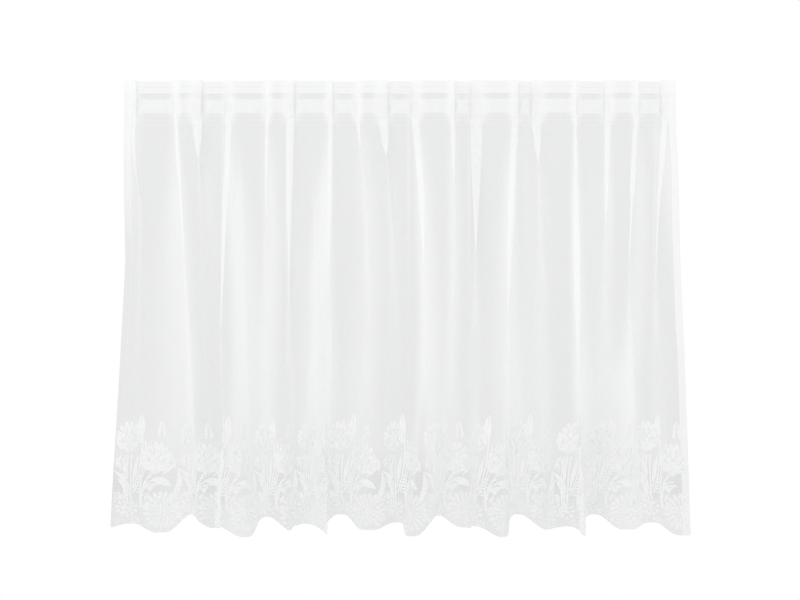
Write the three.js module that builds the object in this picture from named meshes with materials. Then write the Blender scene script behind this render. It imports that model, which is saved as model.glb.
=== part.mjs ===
// A gathered lace curtain for half a window: one sheer panel with a scalloped lace edge,
// hung in narrow pleats that open into soft folds, and the heading tape sewn behind its top.
// Millimetres, +Z up. The origin is the middle of the top edge, the front faces -Y.
// "Along" is a distance along the cloth from its left side edge, "drop" a distance below the top.
import * as THREE from "three";

// Driving dimensions
const FLAT_WIDTH = 1650;
const TOP_WIDTH = 1088;
const HEM_WIDTH = 1144;
// Drops at which the left and the right side edge begin to flare out towards the hem
const LEFT_FLARE = 350;
const RIGHT_FLARE = 90;

// Lower edge: a lobe hangs below each repeat of the lace, a deep one and a shallow one in turn.
// The arch to the right of a deep lobe is high, the next one is low. A lobe's half width is a
// share of the repeat, and the lobe keeps its full depth over a share of that half.
const MOTIF_REPEAT = 128;
const FIRST_LOBE = 100;
const DEEP_LOBE = 896;
const SHALLOW_LOBE = 886;
const HIGH_ARCH = 860;
const LOW_ARCH = 875;
const LOBE_HALF = 0.46;
const LOBE_FULL = 0.15;

// Thickness of the single cloth and of the doubled hems, which a row of stitches divides
const CLOTH = 1.2;
const HEM_CLOTH = 2.0;
const SIDE_HEM = 14;
const TOP_HEM = 24;
const STITCH_STEP = 2;

// Gathering tape behind the heading
const TAPE = 1.0;
const TAPE_TOP = 36;
const TAPE_BOTTOM = 63;
const SEWN_GAP = 0.3;

// Heights at which the fold table gives its values
const HEADING_DROP = 77;
const MIDDLE_DROP = 531;
const HEM_DROP = 890;

// A pleat turns back on itself round this radius, which keeps its three layers apart
const PLEAT_RADIUS = 2.5;
const PLEAT_TURN = Math.PI * PLEAT_RADIUS;
// Length of cloth in one turn of a fold that starts below the pleats, and of any fold at the hem
const SOFT_TURN = 20;
const HEM_TURN = 34;
// Below the height where a pleat opens, it calms down to its middle angle over this length
const OPENING_LENGTH = 80;
// A fold takes at most this share of the cloth up to its neighbour, and leaves this much of it flat
const ROOM_SHARE = 0.46;
const LEAST_FLAT = 3;
const LEAST_CREST = 1.5;
// Stretch of cloth over which the folds even out before and behind the plane of the top edge
const LEVEL_SPREAD = 90;
const MITRE_LIMIT = 0.7;

// Heights of the rows of the panel's surface, without the scalloped last one
const ROW_DROPS = [
  0, TOP_HEM, TOP_HEM + STITCH_STEP, HEADING_DROP, 130, 190, 270, 370, 480, 610, 735, 825,
];
const LONGEST_FLAT_STEP = 30;

// One row for each fold, from left to right.
// topX, midX, hemX: its place across the curtain, from the centre line, at the three table heights.
// topTake, midTake, hemTake: the width of cloth that it hides there. One with no topTake starts
// below the pleats.
// opensAt: the drop at which a pleat stops overlapping itself, or a lower fold is half grown.
// midAngle, hemAngle: how far the cloth turns in it, in degrees; turn: 1 leads it back, -1 forward.
const FOLD_COLUMNS = [
  "topX", "midX", "hemX", "topTake", "midTake", "hemTake", "opensAt", "midAngle", "hemAngle", "turn",
];
const FOLD_ROWS = [
  [-524, -540, -544, 24, 6, 4, 235, 50, 30, 1],
  [-443, -419, -410, 19, 43, 16, 200, 74, 56, -1],
  [-401, -386, -386, 47, 6, 2, 166, 50, 30, 1],
  [-339, -354, -366, 28, 28, 67, 452, 80, 98, -1],
  [-315, -313, -287, 0, 36, 26, 200, 70, 64, 1],
  [-262, -267, -258, 19, 16, 6, 235, 56, 35, -1],
  [-216, -220, -216, 38, 20, 47, 491, 60, 80, 1],
  [-169, -171, -181, 0, 30, 4, 330, 68, 35, -1],
  [-137, -143, -147, 25, 39, 69, 432, 76, 98, 1],
  [-84, -64, -94, 19, 18, 12, 136, 56, 45, -1],
  [-33, -13, -29, 44, 20, 8, 150, 52, 40, 1],
  [30, 44, 9, 35, 39, 39, 371, 74, 78, -1],
  [104, 98, 68, 25, 20, 18, 200, 56, 56, 1],
  [151, 147, 141, 51, 20, 55, 353, 58, 82, -1],
  [228, 212, 214, 32, 43, 43, 454, 76, 80, 1],
  [269, 283, 287, 44, 20, 39, 166, 56, 78, -1],
  [346, 352, 360, 19, 51, 71, 545, 80, 98, 1],
  [410, 404, 408, 32, 20, 4, 334, 54, 35, -1],
  [467, 453, 475, 25, 43, 12, 235, 72, 50, 1],
  [522, 508, 530, 32, 16, 8, 446, 56, 45, -1],
];
const folds = FOLD_ROWS.map((row) =>
  Object.fromEntries(FOLD_COLUMNS.map((name, i) => [name, row[i]])),
);

const { lerp, clamp, smoothstep, degToRad } = THREE.MathUtils;

// Share of the cloth in a turn of this angle that doesn't go towards the curtain's width
const lost = (angle) => (angle < 1e-6 ? 0 : 1 - Math.sin(angle) / angle);

// Angle at which a fold of two turns with a flat stretch between them hides a given width,
// found by halving
function angleThatHides(take, turned, crest) {
  let low = 0;
  let high = Math.PI;
  while (high - low > 1e-8) {
    const middle = (low + high) / 2;
    if (2 * turned * lost(middle) + crest * (1 - Math.cos(middle)) < take) low = middle;
    else high = middle;
  }
  return low;
}

const flare = (drop, start) =>
  ((HEM_WIDTH - TOP_WIDTH) / 2) * Math.max(0, (drop - start) / (HEM_DROP - start));
const leftEdge = (drop) => -TOP_WIDTH / 2 - flare(drop, LEFT_FLARE);
const rightEdge = (drop) => TOP_WIDTH / 2 + flare(drop, RIGHT_FLARE);

// Curve through a fold's three places
function foldX(fold, drop) {
  const d = clamp(drop, HEADING_DROP, HEM_DROP);
  const share = (own, a, b) => ((d - a) * (d - b)) / ((own - a) * (own - b));
  return (
    fold.topX * share(HEADING_DROP, MIDDLE_DROP, HEM_DROP) +
    fold.midX * share(MIDDLE_DROP, HEADING_DROP, HEM_DROP) +
    fold.hemX * share(HEM_DROP, HEADING_DROP, MIDDLE_DROP)
  );
}

function foldTake(fold, drop) {
  const changed = Math.min(2 * fold.opensAt - HEADING_DROP, MIDDLE_DROP);
  if (drop < MIDDLE_DROP) return lerp(fold.topTake, fold.midTake, smoothstep(drop, HEADING_DROP, changed));
  return lerp(fold.midTake, fold.hemTake, smoothstep(drop, MIDDLE_DROP, HEM_DROP));
}

function foldAngle(fold, drop) {
  const calm = Math.max(MIDDLE_DROP, fold.opensAt + OPENING_LENGTH);
  if (drop > calm) return degToRad(lerp(fold.midAngle, fold.hemAngle, smoothstep(drop, calm, HEM_DROP)));
  if (!fold.topTake) return degToRad(fold.midAngle);
  if (drop > fold.opensAt) return degToRad(lerp(90, fold.midAngle, smoothstep(drop, fold.opensAt, calm)));
  return degToRad(lerp(180, 90, clamp((drop - HEADING_DROP) / (fold.opensAt - HEADING_DROP), 0, 1)));
}

// Length of cloth over which a fold turns, on each side of its middle
function turnLength(fold, drop) {
  const topTurn = fold.topTake ? PLEAT_TURN : SOFT_TURN;
  return lerp(topTurn, HEM_TURN, clamp((drop - HEADING_DROP) / (HEM_DROP - HEADING_DROP), 0, 1));
}

// The folds at one height: where each lies along the cloth, and how it turns
function bendsAt(drop) {
  const takes = folds.map((fold) => foldTake(fold, drop));
  const total = takes.reduce((sum, take) => sum + take, 0);
  const fit = (FLAT_WIDTH - rightEdge(drop) + leftEdge(drop)) / total;
  let hidden = 0;
  const bends = folds.map((fold, i) => {
    const take = takes[i] * fit;
    const centre = foldX(fold, drop) - leftEdge(drop) + hidden + take / 2;
    hidden += take;
    return { fold, take, centre };
  });
  bends.forEach((bend, i) => {
    const before = i ? bend.centre - bends[i - 1].centre : 2 * bend.centre;
    const isLast = i === bends.length - 1;
    const after = isLast ? 2 * (FLAT_WIDTH - bend.centre) : bends[i + 1].centre - bend.centre;
    const room = Math.min(before, after) * ROOM_SHARE;
    const angle = foldAngle(bend.fold, drop);
    const straight = 1 - Math.cos(angle);
    const fitting = (room - bend.take / (2 * straight)) / (1 - lost(angle) / straight);
    bend.turned = clamp(fitting, PLEAT_TURN, turnLength(bend.fold, drop));
    bend.crest = Math.max(LEAST_CREST, (bend.take - 2 * bend.turned * lost(angle)) / straight);
    bend.angle = angleThatHides(bend.take, bend.turned, bend.crest);
    bend.half = bend.crest / 2 + bend.turned;
  });
  return keptApart(bends);
}

// Moves bends along the cloth where they would run into each other or into a side hem
function keptApart(bends) {
  const room = SIDE_HEM + STITCH_STEP + LEAST_FLAT;
  let end = room;
  bends.forEach((bend) => {
    bend.centre = Math.max(bend.centre, end + bend.half);
    end = bend.centre + bend.half + LEAST_FLAT;
  });
  let start = FLAT_WIDTH - room;
  bends.toReversed().forEach((bend) => {
    bend.centre = Math.min(bend.centre, start - bend.half);
    start = bend.centre - bend.half - LEAST_FLAT;
  });
  return bends;
}

// Knots of the cloth at one height: points along it with the direction in which it runs
function knotsAt(drop, flatSteps) {
  const knots = [];
  const add = (along, heading) => knots.push({ along, heading });
  const flat = (from, to, steps) => {
    for (let i = 1; i < steps; i++) add(lerp(from, to, i / steps), 0);
  };
  add(0, 0);
  add(SIDE_HEM, 0);
  add(SIDE_HEM + STITCH_STEP, 0);
  let end = SIDE_HEM + STITCH_STEP;
  bendsAt(drop).forEach((bend, i) => {
    const segments = bend.fold.topTake ? 3 : 2;
    const start = bend.centre - bend.half;
    const heading = bend.fold.turn * bend.angle;
    flat(end, start, flatSteps[i]);
    const back = bend.centre + bend.crest / 2;
    const shares = Array.from({ length: segments + 1 }, (_, k) => k / segments);
    shares.forEach((share) => add(start + bend.turned * share, heading * share));
    shares.forEach((share) => add(back + bend.turned * share, heading * (1 - share)));
    end = back + bend.turned;
  });
  flat(end, FLAT_WIDTH - SIDE_HEM - STITCH_STEP, flatSteps[folds.length]);
  add(FLAT_WIDTH - SIDE_HEM - STITCH_STEP, 0);
  add(FLAT_WIDTH - SIDE_HEM, 0);
  add(FLAT_WIDTH, 0);
  return knots;
}

// Steps that each flat stretch between two folds needs at its longest
function longestFlats() {
  const longest = new Array(folds.length + 1).fill(0);
  ROW_DROPS.concat(HEM_DROP).forEach((drop) => {
    let end = SIDE_HEM + STITCH_STEP;
    bendsAt(drop).forEach((bend, i) => {
      longest[i] = Math.max(longest[i], bend.centre - bend.half - end);
      end = bend.centre + bend.half;
    });
    longest[folds.length] = Math.max(longest[folds.length], FLAT_WIDTH - SIDE_HEM - STITCH_STEP - end);
  });
  return longest.map((length) => Math.max(1, Math.ceil(length / LONGEST_FLAT_STEP)));
}
const flatSteps = longestFlats();

// Runs along the knots and gives each its place across and through the curtain
function walk(knots, left) {
  let x = left;
  let y = 0;
  return knots.map((knot, i) => {
    if (i) {
      const last = knots[i - 1];
      const length = knot.along - last.along;
      const bend = knot.heading - last.heading;
      if (Math.abs(bend) < 1e-6) {
        x += length * Math.cos(last.heading);
        y += length * Math.sin(last.heading);
      } else {
        x += (length * (Math.sin(knot.heading) - Math.sin(last.heading))) / bend;
        y -= (length * (Math.cos(knot.heading) - Math.cos(last.heading))) / bend;
      }
    }
    return { along: knot.along, x, y };
  });
}

function between(points, along) {
  const after = clamp(points.findIndex((p) => p.along >= along), 1, points.length - 1);
  const a = points[after - 1];
  const b = points[after];
  const share = clamp((along - a.along) / Math.max(b.along - a.along, 1e-9), 0, 1);
  return { along, x: lerp(a.x, b.x, share), y: lerp(a.y, b.y, share) };
}

// One height of the hanging cloth, its folds shared out evenly before and behind one plane
function sectionAt(drop) {
  const points = walk(knotsAt(drop, flatSteps), leftEdge(drop));
  const anchors = bendsAt(drop).map((bend) => {
    const before = between(points, bend.centre - bend.half).y;
    const after = between(points, bend.centre + bend.half).y;
    return { along: bend.centre, level: (before + after) / 2, weight: (after - before) ** 2 };
  });
  return points.map((p) => {
    let level = 0;
    let weights = 0;
    anchors.forEach((anchor) => {
      const near = anchor.weight * Math.exp(-(((p.along - anchor.along) / LEVEL_SPREAD) ** 2) / 2);
      level += near * anchor.level;
      weights += near;
    });
    return { along: p.along, x: p.x, y: p.y - level / weights };
  });
}

// Drop of the scalloped lower edge at a place along the cloth
function hemDrop(along) {
  const repeats = (along - FIRST_LOBE) / MOTIF_REPEAT;
  const nearest = Math.round(repeats);
  const deep = nearest % 2 === 0;
  const lobe = deep ? DEEP_LOBE : SHALLOW_LOBE;
  const arch = repeats < nearest === deep ? LOW_ARCH : HIGH_ARCH;
  const off = Math.abs(repeats - nearest) / LOBE_HALF;
  return lerp(lobe, arch, smoothstep(off, LOBE_FULL, 1));
}

function clothThickness(along, drop) {
  const atSide = Math.min(along, FLAT_WIDTH - along) < SIDE_HEM + STITCH_STEP / 2;
  return atSide || drop < TOP_HEM + STITCH_STEP / 2 ? HEM_CLOTH : CLOTH;
}

// Both faces of a layer that lies from "near" to "far" behind the cloth's middle, at one height
function facesOf(points, drops, near, far) {
  return points.map((p, i) => {
    const before = points[Math.max(0, i - 1)];
    const after = points[Math.min(points.length - 1, i + 1)];
    const inward = new THREE.Vector2(p.x - before.x, p.y - before.y);
    const outward = new THREE.Vector2(after.x - p.x, after.y - p.y);
    if (i === 0) inward.copy(outward);
    if (i === points.length - 1) outward.copy(inward);
    inward.normalize();
    outward.normalize();
    const run = inward.clone().add(outward).normalize();
    const mitre = 1 / Math.max(MITRE_LIMIT, run.dot(inward));
    const at = (offset) =>
      new THREE.Vector3(p.x - run.y * offset * mitre, p.y + run.x * offset * mitre, -drops[i]);
    return { front: at(near(p.along, drops[i])), back: at(far(p.along, drops[i])) };
  });
}

// A closed sheet from rows of front and back points, the top row first
function sheetGeometry(rows) {
  const across = rows[0].length;
  const points = rows.flat().flatMap(({ front, back }) => [front, back]);
  const positions = points.flatMap((point) => point.toArray());
  const at = (row, column, side) => 2 * (row * across + column) + side;
  const index = [];
  const quad = (a, b, c, d) => index.push(a, b, c, a, c, d);
  for (let r = 0; r < rows.length - 1; r++) {
    for (let c = 0; c < across - 1; c++) {
      quad(at(r, c, 0), at(r + 1, c, 0), at(r + 1, c + 1, 0), at(r, c + 1, 0));
      quad(at(r, c, 1), at(r, c + 1, 1), at(r + 1, c + 1, 1), at(r + 1, c, 1));
    }
    const last = across - 1;
    quad(at(r, 0, 0), at(r, 0, 1), at(r + 1, 0, 1), at(r + 1, 0, 0));
    quad(at(r, last, 0), at(r + 1, last, 0), at(r + 1, last, 1), at(r, last, 1));
  }
  for (let c = 0; c < across - 1; c++) {
    const foot = rows.length - 1;
    quad(at(0, c, 0), at(0, c + 1, 0), at(0, c + 1, 1), at(0, c, 1));
    quad(at(foot, c, 0), at(foot, c, 1), at(foot, c + 1, 1), at(foot, c + 1, 0));
  }
  const geometry = new THREE.BufferGeometry();
  geometry.setAttribute("position", new THREE.Float32BufferAttribute(positions, 3));
  geometry.setIndex(index);
  geometry.computeVertexNormals();
  return geometry;
}

function panelMesh() {
  const front = (along, drop) => -clothThickness(along, drop) / 2;
  const back = (along, drop) => clothThickness(along, drop) / 2;
  const rows = ROW_DROPS.map((drop) => {
    const points = sectionAt(drop);
    return facesOf(points, points.map(() => drop), front, back);
  });
  const drops = knotsAt(HEM_DROP, flatSteps).map((knot) => hemDrop(knot.along));
  const sections = new Map();
  const lowest = knotsAt(HEM_DROP, flatSteps).map((knot, i) => {
    const height = Math.round(drops[i]);
    if (!sections.has(height)) sections.set(height, sectionAt(height));
    return between(sections.get(height), knot.along);
  });
  rows.push(facesOf(lowest, drops, front, back));
  const material = new THREE.MeshStandardMaterial({ color: 0xf4f5f3, roughness: 0.9, metalness: 0 });
  const mesh = new THREE.Mesh(sheetGeometry(rows), material);
  mesh.name = "curtain_panel";
  return mesh;
}

function tapeMesh() {
  const near = (along, drop) => clothThickness(along, drop) / 2 + SEWN_GAP;
  const far = (along, drop) => near(along, drop) + TAPE;
  const rows = [TAPE_TOP, TAPE_BOTTOM].map((drop) => {
    const points = sectionAt(drop);
    return facesOf(points, points.map(() => drop), near, far);
  });
  const material = new THREE.MeshStandardMaterial({ color: 0xf7f7f6, roughness: 0.85, metalness: 0 });
  const mesh = new THREE.Mesh(sheetGeometry(rows), material);
  mesh.name = "heading_tape";
  return mesh;
}

const curtain = new THREE.Group();
curtain.add(panelMesh(), tapeMesh());

export default curtain;
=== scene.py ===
"""Looks of a gathered lace curtain for half a window: a sheer sheet in soft folds, the flowers and
leaves of its lace border, and the gathering tape behind its heading.

The folds are worked out in millimetres on the flat cloth. "Along" is a distance along the cloth
from its left side edge, "drop" a distance below the top edge. The origin is the middle of the top
edge, and the front faces -Y.
"""

import math
import random

import bpy
import numpy as np
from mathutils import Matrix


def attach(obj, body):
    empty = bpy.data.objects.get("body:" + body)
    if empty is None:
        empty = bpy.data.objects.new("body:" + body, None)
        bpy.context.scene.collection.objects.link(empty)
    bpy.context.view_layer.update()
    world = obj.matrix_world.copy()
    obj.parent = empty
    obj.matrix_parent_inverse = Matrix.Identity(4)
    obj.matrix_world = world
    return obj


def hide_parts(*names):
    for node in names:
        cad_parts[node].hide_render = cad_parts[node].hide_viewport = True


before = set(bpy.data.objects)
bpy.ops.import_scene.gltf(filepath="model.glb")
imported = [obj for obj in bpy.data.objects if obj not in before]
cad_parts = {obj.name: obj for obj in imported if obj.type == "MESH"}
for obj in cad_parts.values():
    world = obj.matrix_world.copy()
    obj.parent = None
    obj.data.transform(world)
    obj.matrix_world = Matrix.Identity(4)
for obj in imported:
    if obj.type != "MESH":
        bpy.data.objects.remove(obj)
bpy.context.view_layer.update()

MM = 0.001

# Width of the flat cloth, width as it hangs, and the drop from which each side widens to the hem
FLAT_WIDTH = 1650
TOP_WIDTH = 1088
HEM_WIDTH = 1144
LEFT_FLARE = 350
RIGHT_FLARE = 90

# The lace's repeat along the cloth, and the lower edge: lobes, the arches between them, and its
# fine scallops
MOTIF_REPEAT = 128
FIRST_MOTIF = 28
FIRST_LOBE = 100
DEEP_LOBE = 896
SHALLOW_LOBE = 886
HIGH_ARCH = 860
LOW_ARCH = 875
LOBE_HALF = 0.46
LOBE_FULL = 0.15
PICOT_WIDTH = 8
PICOT_DEPTH = 1.6

# Depths of the hems, and the place of the tape, which lies behind the cloth
SIDE_HEM = 14
TOP_HEM = 24
TAPE_TOP = 36
TAPE_BOTTOM = 63
TAPE_BEHIND = 1.4

# The gathering bunches the heading up at each pleat: a least width and a share of the cloth that the
# pleat hides, how high it rises, and how many layers of cloth are added at these heights as a
# painted highlight, which makes the pleats brighter than the shade between their stacked layers
# leaves them
PLEAT_LEAST = 4
PLEAT_SHARE = 0.22
PLEAT_RISE = 1.6
PLEAT_DROPS = (0, 34, 37, 62, 65, 88)
PLEAT_PAINTED_LAYERS = (1.7, 1.7, 4, 4, 1.7, 0)

# Heights at which the fold table gives its values
HEADING_DROP = 77
MIDDLE_DROP = 531
HEM_DROP = 890

# Length of cloth in each of a fold's two turns: at a tight pleat, at a soft fold and at the hem
PLEAT_RADIUS = 2.5
PLEAT_TURN = math.pi * PLEAT_RADIUS
SOFT_TURN = 20
HEM_TURN = 34

# Least length over which an opened pleat reaches its soft shape; share of the way to the next
# fold that half a fold may take up; least flat cloth between folds, beside a side hem and on a
# fold's crest; and how far along the cloth its depth is levelled out
OPENING_LENGTH = 80
ROOM_SHARE = 0.46
LEAST_FLAT = 3
HEM_CLEAR = 2
LEAST_CREST = 1.5
LEVEL_SPREAD = 90

# Below this rate of turning, or this turn in all, a stretch of cloth counts as straight
SLIGHT_RATE = 1e-9
SLIGHT_TURN = 1e-6

# One row for each fold, from left to right: its place across the curtain and the width of cloth
# that it hides, at the three table heights; the drop at which it opens; how far the cloth turns
# in it, in degrees; and 1 where it leads the cloth back, -1 forward
FOLD_COLUMNS = (
    "top_x mid_x hem_x top_take mid_take hem_take opens_at mid_angle hem_angle turn"
).split()
FOLD_ROWS = [
    (-524, -540, -544, 24, 6, 4, 235, 50, 30, 1),
    (-443, -419, -410, 19, 43, 16, 200, 74, 56, -1),
    (-401, -386, -386, 47, 6, 2, 166, 50, 30, 1),
    (-339, -354, -366, 28, 28, 67, 452, 80, 98, -1),
    (-315, -313, -287, 0, 36, 26, 200, 70, 64, 1),
    (-262, -267, -258, 19, 16, 6, 235, 56, 35, -1),
    (-216, -220, -216, 38, 20, 47, 491, 60, 80, 1),
    (-169, -171, -181, 0, 30, 4, 330, 68, 35, -1),
    (-137, -143, -147, 25, 39, 69, 432, 76, 98, 1),
    (-84, -64, -94, 19, 18, 12, 136, 56, 45, -1),
    (-33, -13, -29, 44, 20, 8, 150, 52, 40, 1),
    (30, 44, 9, 35, 39, 39, 371, 74, 78, -1),
    (104, 98, 68, 25, 20, 18, 200, 56, 56, 1),
    (151, 147, 141, 51, 20, 55, 353, 58, 82, -1),
    (228, 212, 214, 32, 43, 43, 454, 76, 80, 1),
    (269, 283, 287, 44, 20, 39, 166, 56, 78, -1),
    (346, 352, 360, 19, 51, 71, 545, 80, 98, 1),
    (410, 404, 408, 32, 20, 4, 334, 54, 35, -1),
    (467, 453, 475, 25, 43, 12, 235, 72, 50, 1),
    (522, 508, 530, 32, 16, 8, 446, 56, 45, -1),
]
folds = [dict(zip(FOLD_COLUMNS, row)) for row in FOLD_ROWS]

# Soft ridges that run out of the pleats at a slant: where each starts and ends, and its size. The
# lower their taper, the blunter their ends.
CREASE_TAPER = 0.7
CREASE_COLUMNS = "start_x start_drop end_x end_drop width height".split()
CREASE_ROWS = [
    (-525, 85, -502, 215, 11, 6),
    (-394, 85, -362, 265, 9, 9),
    (-214, 85, -190, 290, 11, 7),
    (-32, 100, -2, 285, 9, 9),
    (152, 110, 204, 240, 12, 9),
    (277, 100, 294, 225, 9, 8),
    (446, 110, 462, 330, 12, 6),
    (517, 85, 548, 290, 12, 9),
]
creases = [dict(zip(CREASE_COLUMNS, row)) for row in CREASE_ROWS]

# Painted highlights and shade along the soft folds: pale bands drawn as extra layers of cloth, and
# dark ones as fewer, from left to right: where each lies at three heights, how far it fades out to
# its left and right at the first and the last of them, and how many layers of cloth it adds at five
# heights, or takes away below 0
BAND_DROPS = (101, 347, 586)
THICK_DROPS = (101, 231, 347, 468, 586)
BAND_COLUMNS = (
    "top_x mid_x low_x left_top left_low right_top right_low thick_1 thick_2 thick_3 thick_4 thick_5"
).split()
BAND_ROWS = [
    (-530, -540, -556, 12, 8, 16, 14, 0.6, 0.3, 0, 0, 0),
    (-445, -431, -418, 10, 60, 12, 18, 0.3, 0.95, 0.9, 0.75, 0.65),
    (-388, -370, -366, 14, 14, 12, 12, -0.15, 0.15, 0.05, 0, 0),
    (-350, -350, -348, 3, 3, 3, 3, 0.3, 0.5, 0.4, 0.1, 0),
    (-341, -321, -315, 10, 14, 14, 46, 0.3, 0.85, 0.95, 0.9, 0.75),
    (-262, -254, -260, 12, 18, 12, 18, 0.2, 0.7, 0.65, 0.55, 0.4),
    (-222, -222, -222, 3, 3, 3, 3, 0.3, 0.5, 0.4, 0.2, 0),
    (-218, -208, -205, 8, 10, 22, 20, -0.15, 0, 0.1, 0, 0),
    (-141, -146, -145, 8, 40, 6, 18, 0.2, 1.3, 1.3, 0.95, 1.0),
    (-78, -60, -72, 14, 40, 12, 30, 0.2, 0.45, 0.35, 0.32, 0.4),
    (-27, -9, -7, 14, 14, 14, 14, -0.2, 0.2, 0.1, 0, 0),
    (17, 17, 17, 3, 3, 3, 3, 0.3, 0.4, 0.1, 0, 0),
    (33, 45, 54, 8, 12, 16, 28, 0.2, 0.85, 0.95, 0.85, 0.8),
    (104, 106, 100, 10, 14, 10, 16, 0.2, 0.8, 0.75, 0.6, 0.5),
    (137, 137, 137, 3, 3, 3, 3, 0.3, 0.4, 0.1, 0, 0),
    (147, 159, 179, 12, 16, 14, 16, -0.25, -0.3, -0.1, 0, 0),
    (224, 222, 228, 12, 38, 6, 14, 0.2, 1.1, 1.0, 0.85, 0.9),
    (248, 256, 262, 20, 26, 20, 26, 0.1, 0.16, 0.2, 0.25, 0.3),
    (269, 289, 297, 12, 12, 12, 12, -0.2, 0.15, 0.05, 0, 0),
    (344, 348, 356, 6, 14, 8, 20, 0.2, 1.3, 1.5, 1.2, 1.9),
    (380, 390, 400, 24, 34, 24, 34, 0, 0.15, 0.16, 0.2, 0.3),
    (408, 411, 413, 8, 8, 8, 8, 0.3, 0.65, 0.3, 0, 0),
    (467, 475, 449, 12, 26, 12, 22, 0.3, 0.65, 0.45, 0.7, 1.4),
    (506, 506, 506, 3, 3, 3, 3, 0.3, 0.45, 0.3, 0.1, 0),
    (522, 548, 568, 18, 12, 18, 10, 0.5, 0.6, 0.25, 0.1, 0),
]
painted_fold_bands = [dict(zip(BAND_COLUMNS, row)) for row in BAND_ROWS]

# Share of those layers that shows; how far the bands lean outwards for each millimetre below the
# lowest height; and where they set in below the tape and fade over the lace, and by how much
BAND_SHARE = 0.8
BAND_LEAN = 0.05
BAND_SETS_IN = 40
BAND_FADE_START = 620
BAND_FADE_LENGTH = 130
BAND_FADE = 0.45


def lerp(a, b, share):
    return a + (b - a) * share


def clamp(value, low, high):
    return max(low, min(high, value))


def smoothstep(value, low, high):
    share = clamp((value - low) / (high - low), 0, 1)
    return share * share * (3 - 2 * share)


def lost(angle):
    """Share of the cloth in a turn of this angle that doesn't go towards the curtain's width."""
    return 0 if angle < SLIGHT_TURN else 1 - math.sin(angle) / angle


# How closely the next function finds its angle
ANGLE_STEP = 1e-8


def angle_that_hides(take, turned, crest):
    """Angle at which a fold of two turns with a flat stretch between them hides a given width."""
    low, high = 0, math.pi
    while high - low > ANGLE_STEP:
        middle = (low + high) / 2
        if 2 * turned * lost(middle) + crest * (1 - math.cos(middle)) < take:
            low = middle
        else:
            high = middle
    return low


def flare(drop, start):
    return (HEM_WIDTH - TOP_WIDTH) / 2 * max(0, (drop - start) / (HEM_DROP - start))


def left_edge(drop):
    return -TOP_WIDTH / 2 - flare(drop, LEFT_FLARE)


def right_edge(drop):
    return TOP_WIDTH / 2 + flare(drop, RIGHT_FLARE)


def fold_x(fold, drop):
    """Curve through a fold's three places."""
    d = clamp(drop, HEADING_DROP, HEM_DROP)

    def share(own, a, b):
        return (d - a) * (d - b) / ((own - a) * (own - b))

    return (
        fold["top_x"] * share(HEADING_DROP, MIDDLE_DROP, HEM_DROP)
        + fold["mid_x"] * share(MIDDLE_DROP, HEADING_DROP, HEM_DROP)
        + fold["hem_x"] * share(HEM_DROP, HEADING_DROP, MIDDLE_DROP)
    )


def fold_take(fold, drop):
    """Width of cloth that a fold hides at this height."""
    if drop < MIDDLE_DROP:
        changed = min(2 * fold["opens_at"] - HEADING_DROP, MIDDLE_DROP)
        return lerp(fold["top_take"], fold["mid_take"], smoothstep(drop, HEADING_DROP, changed))
    return lerp(fold["mid_take"], fold["hem_take"], smoothstep(drop, MIDDLE_DROP, HEM_DROP))


def fold_angle(fold, drop):
    """How far the cloth turns in a fold at this height, before it is fitted to what it hides."""
    opens_at, mid_angle = fold["opens_at"], fold["mid_angle"]
    calm = max(MIDDLE_DROP, opens_at + OPENING_LENGTH)
    if drop > calm:
        degrees = lerp(mid_angle, fold["hem_angle"], smoothstep(drop, calm, HEM_DROP))
    elif not fold["top_take"]:
        degrees = mid_angle
    elif drop > opens_at:
        degrees = lerp(90, mid_angle, smoothstep(drop, opens_at, calm))
    else:
        opened = (drop - HEADING_DROP) / (opens_at - HEADING_DROP)
        degrees = lerp(180, 90, clamp(opened, 0, 1))
    return math.radians(degrees)


def turn_length(fold, drop):
    """Length of cloth over which a fold turns, on each side of its middle."""
    top_turn = PLEAT_TURN if fold["top_take"] else SOFT_TURN
    down = (drop - HEADING_DROP) / (HEM_DROP - HEADING_DROP)
    return lerp(top_turn, HEM_TURN, clamp(down, 0, 1))


def bends_at(drop):
    """The folds at one height: where each lies along the cloth, and how it turns."""
    takes = [fold_take(fold, drop) for fold in folds]
    fit = (FLAT_WIDTH - right_edge(drop) + left_edge(drop)) / sum(takes)
    hidden = 0
    bends = []
    for fold, take in zip(folds, takes):
        take *= fit
        centre = fold_x(fold, drop) - left_edge(drop) + hidden + take / 2
        hidden += take
        bends.append({"fold": fold, "take": take, "centre": centre})
    centres = [bend["centre"] for bend in bends]
    before = [2 * centres[0], *np.diff(centres)]
    after = [*np.diff(centres), 2 * (FLAT_WIDTH - centres[-1])]
    for bend, gap_before, gap_after in zip(bends, before, after):
        room = min(gap_before, gap_after) * ROOM_SHARE
        angle = fold_angle(bend["fold"], drop)
        straight = 1 - math.cos(angle)
        fitting = (room - bend["take"] / (2 * straight)) / (1 - lost(angle) / straight)
        turned = clamp(fitting, PLEAT_TURN, turn_length(bend["fold"], drop))
        crest = max(LEAST_CREST, (bend["take"] - 2 * turned * lost(angle)) / straight)
        bend["turned"], bend["crest"] = turned, crest
        bend["angle"] = angle_that_hides(bend["take"], turned, crest)
        bend["half"] = crest / 2 + turned
    return kept_apart(bends)


def kept_apart(bends):
    """Moves bends along the cloth where they would run into each other or into a side hem."""
    end = SIDE_HEM + HEM_CLEAR + LEAST_FLAT
    for bend in bends:
        bend["centre"] = max(bend["centre"], end + bend["half"])
        end = bend["centre"] + bend["half"] + LEAST_FLAT
    start = FLAT_WIDTH - SIDE_HEM - HEM_CLEAR - LEAST_FLAT
    for bend in reversed(bends):
        bend["centre"] = min(bend["centre"], start - bend["half"])
        start = bend["centre"] - bend["half"] - LEAST_FLAT
    return bends


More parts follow.
